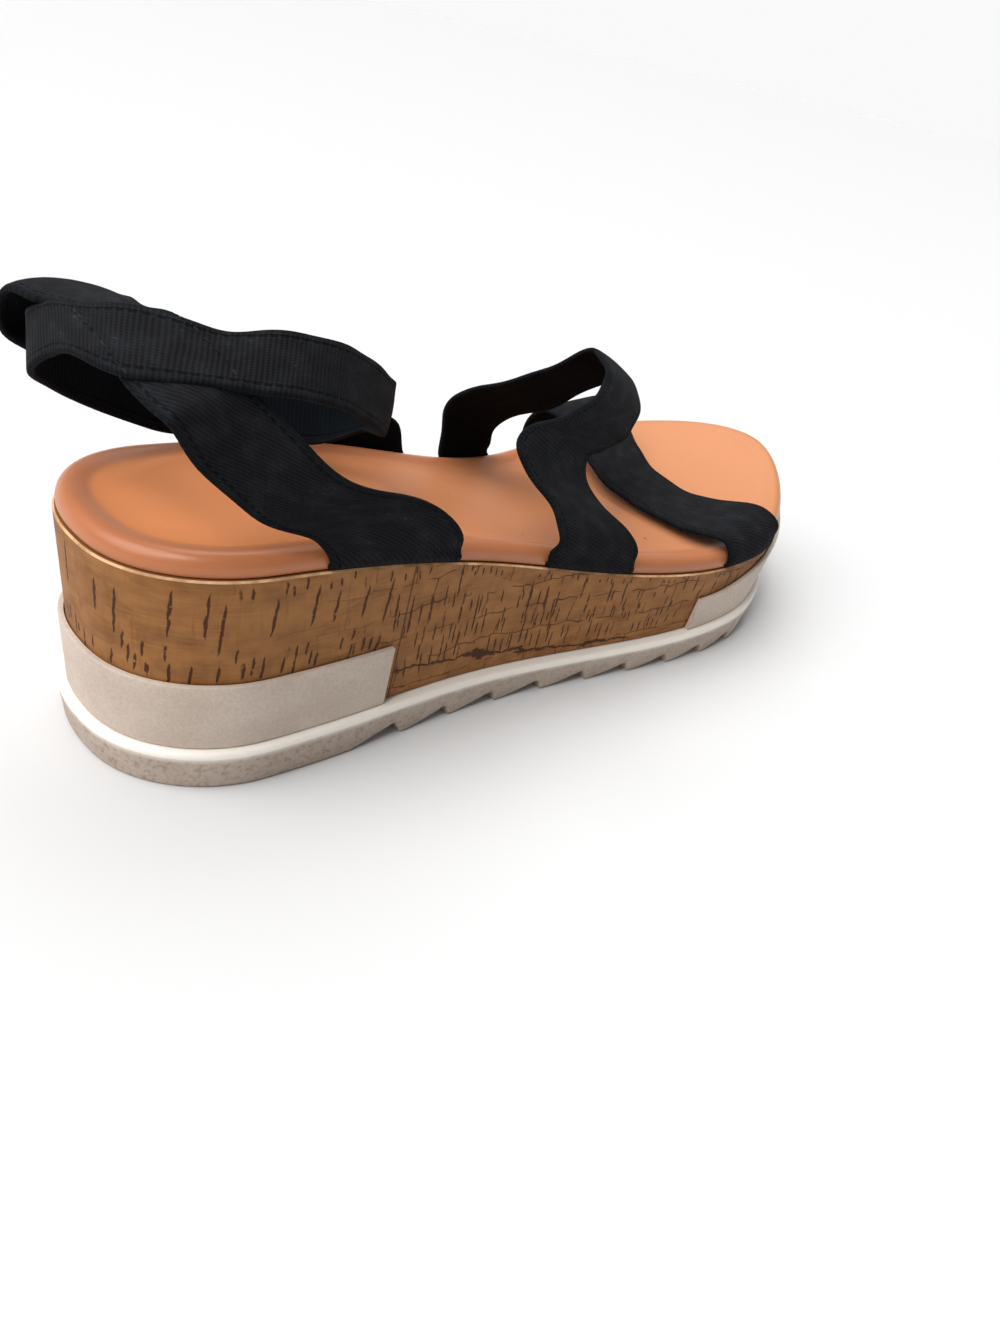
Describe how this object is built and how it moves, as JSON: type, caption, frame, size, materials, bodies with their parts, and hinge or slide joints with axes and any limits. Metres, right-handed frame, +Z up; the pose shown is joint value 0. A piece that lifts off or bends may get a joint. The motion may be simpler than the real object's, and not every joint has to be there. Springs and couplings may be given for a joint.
{
  "type": "platform sandal",
  "caption": "Right-foot platform sandal with a cork-wrapped wedge, saw-tooth white sole, padded footbed, elastic toe and instep straps, and a heel sling sewn to an ankle band.",
  "frame": {"origin": "middle of the flat heel pad, on the floor", "axes": "+X from heel to toe, +Y to the inner side of the foot, +Z up from the floor"},
  "size_m": [0.2687, 0.0992, 0.1066],
  "materials": {
    "sole_rubber": "matte, cream white",
    "cork": "matte cork veneer with dark slits",
    "band_rubber": "fine pebbled white",
    "bumper_rubber": "fine pebbled white",
    "bed_leather": "satin tan",
    "toe_elastic": "matte black ribbed elastic",
    "instep_elastic": "matte black ribbed elastic",
    "ankle_elastic": "matte black ribbed elastic"
  },
  "bodies": {
    "root": {"outsole": "sole_rubber", "cork_midsole": "cork", "heel_band": "band_rubber", "toe_bumper": "bumper_rubber", "footbed": "bed_leather", "toe_strap": "toe_elastic", "instep_strap": "instep_elastic", "ankle_straps": "ankle_elastic"}
  },
  "joints": []
}
